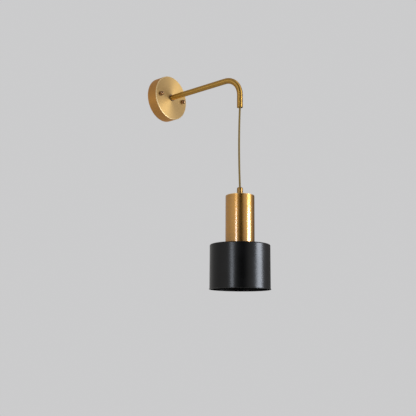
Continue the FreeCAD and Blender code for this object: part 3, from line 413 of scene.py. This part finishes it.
def plain_metal(name, colour, roughness, grain=900.0, bump=0.15, wear_and_highlight=0.0, tint=0.85, coat=0.0,
                lacquer=1.5):
    """Plated or turned metal with a fine grain, and edges lightened as rubbed wear and as a painted
    highlight.
    """
    paint = Paint(name)
    fine = paint.noise(paint.place, grain, 4.0, 0.6)
    cloud = paint.noise(paint.place, 90.0, 2.0)
    shade = paint.between(paint.weigh((fine, 0.5), (cloud, 0.5)), 0.0, 1.0, 0.35, 0.65)
    base = paint.mix(shade, dim(colour, tint), colour)
    if wear_and_highlight:
        # Lighter edges: partly rubbed wear, partly a painted highlight.
        bright = tuple(min(1.0, part * 1.35 + 0.03) for part in colour)
        base = paint.mix(paint.math("MULTIPLY", edge_mask(paint, 0.0004), wear_and_highlight), base, bright)
    rough = paint.between(cloud, roughness - 0.06, roughness + 0.08, 0.3, 0.7)
    paint.set(Base_Color=base, Metallic=1.0, Roughness=rough,
              Normal=paint.bump(fine, bump, 0.00003),
              Coat_Weight=coat, Coat_Roughness=0.15, Coat_IOR=lacquer)
    return paint.material


def spangled(name, colour, roughness):
    """Sheet steel with the flaky spangle of its zinc coat, brighter along its edges."""
    paint = Paint(name)
    flakes = paint.add("ShaderNodeTexVoronoi", feature="F1")
    paint.put(flakes.inputs["Vector"], paint.place)
    paint.put(flakes.inputs["Scale"], 420.0)
    flake = paint.split(flakes.outputs["Color"])[0]
    cloud = paint.noise(paint.place, 55.0, 4.0, 0.6)
    grain = paint.noise(paint.vector("MULTIPLY", paint.place, (0.12, 1.0, 1.0)), 2600.0, 2.0)
    tone = paint.weigh((flake, 0.35), (cloud, 0.65))
    base = paint.mix(paint.between(tone, 0.0, 1.0, 0.25, 0.72), dim(colour, 0.66), colour)
    # Lighter edges: partly wear, partly a painted highlight.
    base = paint.mix(paint.math("MULTIPLY", edge_mask(paint, 0.0005), 0.6), base,
                     (0.72, 0.73, 0.74))
    rough = paint.math("ADD", paint.between(flake, roughness - 0.09, roughness + 0.07),
                       paint.between(cloud, -0.04, 0.10, 0.35, 0.7))
    normal = paint.bump(flake, 0.05, 0.00004, paint.bump(grain, 0.12, 0.00002))
    paint.set(Base_Color=base, Metallic=1.0, Roughness=rough, Normal=normal)
    return paint.material


def plastic(name, colour, roughness, grain=1400.0, bump=0.25, coat=0.0):
    """Moulded plastic, rubber or ceramic with a fine skin."""
    paint = Paint(name)
    fine = paint.noise(paint.place, grain, 3.0, 0.55)
    cloud = paint.noise(paint.place, 120.0, 2.0)
    base = paint.mix(paint.between(cloud, 0.0, 1.0, 0.35, 0.65), dim(colour, 0.9), colour)
    rough = paint.between(fine, roughness - 0.05, roughness + 0.07, 0.3, 0.7)
    paint.set(Base_Color=base, Roughness=rough, Normal=paint.bump(fine, bump, 0.00003),
              Coat_Weight=coat, Coat_Roughness=0.1)
    return paint.material


def black_paint():
    """Satin black powder coat with a painted highlight along its edges, and dusty on the shade's
    top.
    """
    paint = Paint("black_powder")
    orange = paint.noise(paint.place, 1500.0, 3.0, 0.6)
    wave = paint.noise(paint.place, 260.0, 1.0)
    cloud = paint.noise(paint.place, 22.0, 3.0)
    base = paint.mix(paint.between(cloud, 0.0, 1.0, 0.35, 0.65),
                     (0.0016, 0.0017, 0.0019), (0.0028, 0.0029, 0.0033))
    # Painted highlight: the edges turn a lighter grey, like the light line on the shade's rounded
    # top.
    base = paint.mix(paint.math("MULTIPLY", edge_mask(paint, 0.0005), 0.35), base,
                     (0.05, 0.05, 0.05))
    rough = paint.between(orange, 0.23, 0.30, 0.3, 0.7)
    rough = paint.math("ADD", rough, paint.between(cloud, -0.02, 0.03, 0.35, 0.65))
    rough = dusty(paint, SHADE_TOP, rough)
    normal = paint.bump(wave, 0.12, 0.00008, paint.bump(orange, 0.22, 0.00003))
    paint.set(Base_Color=base, Roughness=rough, Normal=normal, Specular_IOR_Level=0.28)
    return paint.material


# The braid: strands that wind each way, and their radians of winding for each metre of cord.
STRANDS = 8.0
STRAND_RISE = 2600.0


def gold_braid():
    """Two sets of strands that wind round the cord and cross over and under each other."""
    paint = Paint("gold_braid")
    x, y, z = paint.split(paint.place)
    angle = paint.math("ARCTAN2", x, paint.math("SUBTRACT", y, DROP_Y))
    turns = paint.math("MULTIPLY", angle, STRANDS)
    rise = paint.math("MULTIPLY", z, STRAND_RISE)
    one = paint.math("COSINE", paint.math("ADD", turns, rise))
    two = paint.math("COSINE", paint.math("SUBTRACT", turns, rise))
    weave = paint.math("MULTIPLY", one, two)
    fibre = paint.noise(paint.vector("MULTIPLY", paint.place, (1.0, 1.0, 0.35)), 5200.0, 2.0)
    # Painted shade: the braid turns darker where its strands dip under each other.
    over = paint.between(weave, 0.0, 1.0, -0.6, 0.8, smooth=True)
    base = paint.mix(over, (0.165, 0.105, 0.026), (0.40, 0.285, 0.080))
    base = paint.mix(paint.between(fibre, 0.0, 0.4, 0.35, 0.7), base, (0.25, 0.165, 0.045))
    height = paint.math("ADD", over, paint.math("MULTIPLY", fibre, 0.4))
    paint.set(Base_Color=base, Roughness=paint.between(over, 0.62, 0.44),
              Normal=paint.bump(height, 0.8, 0.00012), Specular_IOR_Level=0.25,
              Sheen_Weight=0.08, Sheen_Roughness=0.4, Sheen_Tint=(0.9, 0.75, 0.45))
    return paint.material


def earth_skin():
    """Green insulation with one yellow stripe winding along it."""
    paint = Paint("core_earth_skin")
    wave = paint.math("SINE", paint.vector("DOT_PRODUCT", paint.place, (900.0, 0.0, 420.0)))
    stripe = paint.between(wave, 0.0, 1.0, -0.15, 0.1)
    fine = paint.noise(paint.place, 1500.0, 2.0)
    paint.set(Base_Color=paint.mix(stripe, (0.05, 0.30, 0.06), (0.78, 0.62, 0.05)),
              Roughness=paint.between(fine, 0.33, 0.45, 0.3, 0.7),
              Normal=paint.bump(fine, 0.2, 0.00003))
    return paint.material


def opal_skin():
    """Frosted opal plastic of the bulb's envelope."""
    paint = Paint("opal_skin")
    fine = paint.noise(paint.place, 1800.0, 3.0)
    cloud = paint.noise(paint.place, 60.0, 2.0)
    paint.set(Base_Color=paint.mix(cloud, (0.82, 0.81, 0.78), (0.90, 0.89, 0.86)),
              Roughness=paint.between(fine, 0.30, 0.42, 0.3, 0.7),
              Normal=paint.bump(fine, 0.15, 0.00003),
              Subsurface_Weight=0.15, Subsurface_Scale=0.003)
    return paint.material


# Painted shade: the ball nuts' brass is much darker than the other brass, standing in for the dark
# room that they reflect.
ball_brass = plain_metal("brass_ball", (0.28, 0.13, 0.036), 0.10, grain=1200.0, bump=0.02,
                         coat=1.0, lacquer=1.55)
bronze = plain_metal("bronze_collar", (0.27, 0.21, 0.17), 0.20, grain=1200.0, bump=0.1, wear_and_highlight=0.6,
                     coat=0.8)
steel = plain_metal("zinc_steel", (0.56, 0.57, 0.60), 0.24, bump=0.12, wear_and_highlight=0.5, tint=0.84)
strap_steel = spangled("zinc_strap", (0.47, 0.48, 0.49), 0.40)
contact = plain_metal("contact_brass", (0.72, 0.55, 0.27), 0.30, wear_and_highlight=0.4)
nickel = plain_metal("nickel_plate", (0.68, 0.67, 0.64), 0.22, bump=0.1, wear_and_highlight=0.3)
tin = plain_metal("tinned_copper", (0.70, 0.68, 0.64), 0.30, grain=800.0, wear_and_highlight=0.3)
alloy = plain_metal("aluminium_plate", (0.80, 0.81, 0.82), 0.38, grain=600.0, bump=0.25)
black = plastic("black_plastic", (0.018, 0.018, 0.019), 0.42)
natural = plastic("natural_plastic", (0.78, 0.77, 0.70), 0.35)
white = plastic("white_plastic", (0.86, 0.86, 0.84), 0.22, grain=900.0, bump=0.1)
ceramic = plastic("steatite_ceramic", (0.83, 0.81, 0.76), 0.30, grain=500.0, bump=0.3, coat=0.4)
core_brown = plastic("core_brown_skin", (0.20, 0.085, 0.04), 0.38)
core_blue = plastic("core_blue_skin", (0.05, 0.16, 0.48), 0.38)
braid = gold_braid()

FINISHES = [
    (canopy_brass, ["canopy"]),
    (sleeve_brass, ["sleeve"]),
    (grip_brass, ["cord_grip"]),
    (arm_brass, ["arm_tube"]),
    (ball_brass, ["ball_nuts"]),
    (bronze, ["arm_collar"]),
    (black_paint(), ["shade"]),
    (braid, ["hanging_cord", "cord_at_exit", "cord_in_arm", "cord_in_pendant"]),
    (steel, ["canopy_studs", "stud_nuts", "arm_nipple", "arm_lock_washer", "arm_nut",
             "anchor_screw", "block_fixing_screw", "earth_spring_washer", "earth_screw",
             "grip_screw", "pendant_pipe", "sleeve_washer", "sleeve_nut", "holder_cap_screw",
             "terminal_screws", "holder_terminal_screws"]),
    (strap_steel, ["mounting_bar"]),
    (contact, ["terminal_inserts", "holder_terminals", "centre_contact"]),
    (nickel, ["screw_shell", "bulb_cap", "bulb_contact"]),
    (tin, ["earth_tag"]),
    (alloy, ["led_plate"]),
    (black, ["cord_anchor", "tube_end_bush", "holder_cap", "holder_skirt", "upper_shade_ring",
             "lower_shade_ring", "bulb_insulator"]),
    (natural, ["terminal_block"]),
    (white, ["bulb_collar"]),
    (ceramic, ["holder_ceramic"]),
    (core_brown, ["canopy_core_brown", "holder_core_brown"]),
    (core_blue, ["canopy_core_blue", "holder_core_blue"]),
    (earth_skin(), ["canopy_core_earth", "holder_core_earth", "earth_lead"]),
    (opal_skin(), ["bulb_envelope"]),
]


def dress(thing, material):
    thing.data.materials.clear()
    thing.data.materials.append(material)


paints = {name: material for material, names in FINISHES for name in names}
for name, thing in nodes.items():
    dress(thing, paints[name])
dress(hanging, braid)


# ---- Floor and backdrop --------------------------------------------------------------------------

# The background's level, and the floor's own brightness near the light.
PALE = 0.60
FLOOR = 0.86
BACKDROP = (PALE, PALE, PALE * 1.01)
FLOOR_Z, FLOOR_REACH, FLOOR_CORNERS = -1.6, 60.0, 96
FADE_START, FADE_END = 2.2, 4.6


def floor():
    """A wide pale floor far below the light, fading into the background's tone far away."""
    mesh = bpy.data.meshes.new("floor")
    turns = [number * math.tau / FLOOR_CORNERS for number in range(FLOOR_CORNERS)]
    ring = [(FLOOR_REACH * math.cos(t), FLOOR_REACH * math.sin(t), FLOOR_Z) for t in turns]
    mesh.from_pydata(ring, [], [list(range(FLOOR_CORNERS))])
    ground = bpy.data.objects.new("floor", mesh)
    paint = Paint("floor_paint")
    paint.set(Base_Color=(FLOOR, FLOOR, FLOOR), Roughness=0.9, Specular_IOR_Level=0.1)
    away = paint.vector("LENGTH", paint.place)
    blend = paint.add("ShaderNodeMixShader")
    paint.put(blend.inputs[0], paint.between(away, 0.0, 1.0, FADE_START, FADE_END, smooth=True))
    paint.put(blend.inputs[1], paint.shader.outputs[0])
    paint.put(blend.inputs[2], paint.glow(BACKDROP))
    paint.surface(blend.outputs[0])
    dress(ground, paint.material)
    scene.collection.objects.link(ground)


floor()
world = bpy.data.worlds.new("studio")
world.use_nodes = True
backdrop = world.node_tree.nodes["Background"]
backdrop.inputs["Color"].default_value = (*BACKDROP, 1)
backdrop.inputs["Strength"].default_value = 1.0
scene.world = world


# ---- Lamps ---------------------------------------------------------------------------------------

# Each lamp is a pair: one part lights surfaces, and one a little nearer shows in reflections.
LAMP_REACH = 1.3
GLOSS_NEARER = 0.01
LAMP_COLOUR = (0.99, 1.0, 1.02)
GLOSS_COLOUR = (0.93, 1.0, 1.12)


def soft_box(name, azimuth, elevation, width, height, power, gloss):
    """A rectangular lamp that faces the light from this azimuth and elevation.

    It lights surfaces at one level, and reflections show it at gloss times that level.
    """
    for glossy in (False, True):
        label = name + "_gloss" if glossy else name
        data = bpy.data.lights.new(label, "AREA")
        data.shape = "RECTANGLE"
        data.size = width
        data.size_y = height
        data.energy = power * gloss if glossy else power
        data.color = GLOSS_COLOUR if glossy else LAMP_COLOUR
        lamp = bpy.data.objects.new(label, data)
        lamp.rotation_mode = "QUATERNION"
        lamp.rotation_quaternion = look(azimuth, elevation)
        reach = LAMP_REACH - GLOSS_NEARER if glossy else LAMP_REACH
        lamp.location = DROP_MIDDLE + directions(azimuth, elevation)[0] * reach
        lamp.visible_glossy = glossy
        lamp.visible_diffuse = not glossy
        lamp.visible_transmission = not glossy
        scene.collection.objects.link(lamp)


soft_box("key_lamp", 22.5, 1.5, width=0.56, height=0.44, power=5.6, gloss=2.6)
soft_box("side_lamp", -82, 2.5, width=0.19, height=0.38, power=1.2, gloss=2.4)


# ---- Screens that only reflections see -----------------------------------------------------------

# The room's brightness at each azimuth: pale beside the wall, dark behind the viewer.
ROOM = [(-100, 0.76), (-76, 0.64), (-62, 0.20), (-52, 0.04), (-36, 0.01), (-29, 0.26), (-18, 0.70),
        (0, 0.80), (40, 0.70), (56, 0.48), (72, 0.28), (100, 0.12)]
# The wall's brightness at each X.
WALL = [(-0.6, 0.74), (-0.06, 0.50), (0.6, 0.12)]
SCREEN_COLOUR = (1.0, 0.985, 0.965)
SCREEN_LOW, SCREEN_HIGH, SCREEN_REACH = -1.58, 1.1, 1.5
SCREEN_BACK = 0.003
SCREEN_TURN, SCREEN_STEPS = 98, 40


def tones(paint, amount, stops, unit=1.0):
    """A smooth ramp of grey over this amount, through (place, tone) stops with places in a unit."""
    first, last = stops[0][0], stops[-1][0]
    ramp = paint.add("ShaderNodeValToRGB")
    ramp.color_ramp.interpolation = "EASE"
    parts = ramp.color_ramp.elements
    for number, (place, tone) in enumerate(stops):
        spot = (place - first) / (last - first)
        part = parts[number] if number < 2 else parts.new(spot)
        part.position = spot
        part.color = (tone, tone, tone, 1)
    paint.put(ramp.inputs[0], paint.between(amount, 0.0, 1.0, first * unit, last * unit))
    return ramp.outputs[0]


def room_tone(paint):
    """The room's brightness at the azimuth where the screen stands, seen from the pendant."""
    x, y, _ = paint.split(paint.place)
    turn = paint.math("ARCTAN2", x, paint.math("SUBTRACT", DROP_Y, y))
    return tones(paint, turn, ROOM, math.radians(1))


def wall_tone(paint):
    return tones(paint, paint.split(paint.place)[0], WALL)


def glow_screen(name, corners, faces, tone):
    """A screen that only reflections see. tone gives its brightness from its paint."""
    mesh = bpy.data.meshes.new(name)
    mesh.from_pydata(corners, [], faces)
    screen = bpy.data.objects.new(name, mesh)
    paint = Paint(name)
    paint.surface(paint.glow(SCREEN_COLOUR, tone(paint)))
    paint.material.cycles.emission_sampling = "NONE"
    dress(screen, paint.material)
    scene.collection.objects.link(screen)
    screen.visible_camera = False
    screen.visible_diffuse = False
    screen.visible_shadow = False
    screen.visible_transmission = False


def room_screen():
    """A tall round screen in front of the wall, with the pendant in its middle."""
    corners = []
    for step in range(SCREEN_STEPS + 1):
        turn = math.radians(-SCREEN_TURN + 2 * SCREEN_TURN * step / SCREEN_STEPS)
        x, y = SCREEN_REACH * math.sin(turn), DROP_Y - SCREEN_REACH * math.cos(turn)
        corners += [(x, y, SCREEN_LOW), (x, y, SCREEN_HIGH)]
    faces = [(2 * n, 2 * n + 1, 2 * n + 3, 2 * n + 2) for n in range(SCREEN_STEPS)]
    glow_screen("room_screen", corners, faces, room_tone)


def wall_screen():
    """A screen just behind the wall's plane."""
    corners = [(x, SCREEN_BACK, z) for z in (SCREEN_LOW, SCREEN_HIGH)
               for x in (-SCREEN_REACH, SCREEN_REACH)]
    glow_screen("wall_screen", corners, [(0, 1, 3, 2)], wall_tone)


def level_screen(name, level):
    """A screen over or under the light, from the wall out into the room."""
    corners = [(x, y, level) for y in (SCREEN_BACK, DROP_Y - SCREEN_REACH)
               for x in (-SCREEN_REACH, SCREEN_REACH)]
    glow_screen(name, corners, [(0, 1, 3, 2)], room_tone)


room_screen()
wall_screen()
level_screen("ceiling_screen", SCREEN_HIGH)
level_screen("floor_screen", SCREEN_LOW)

scene.view_settings.view_transform = "Standard"
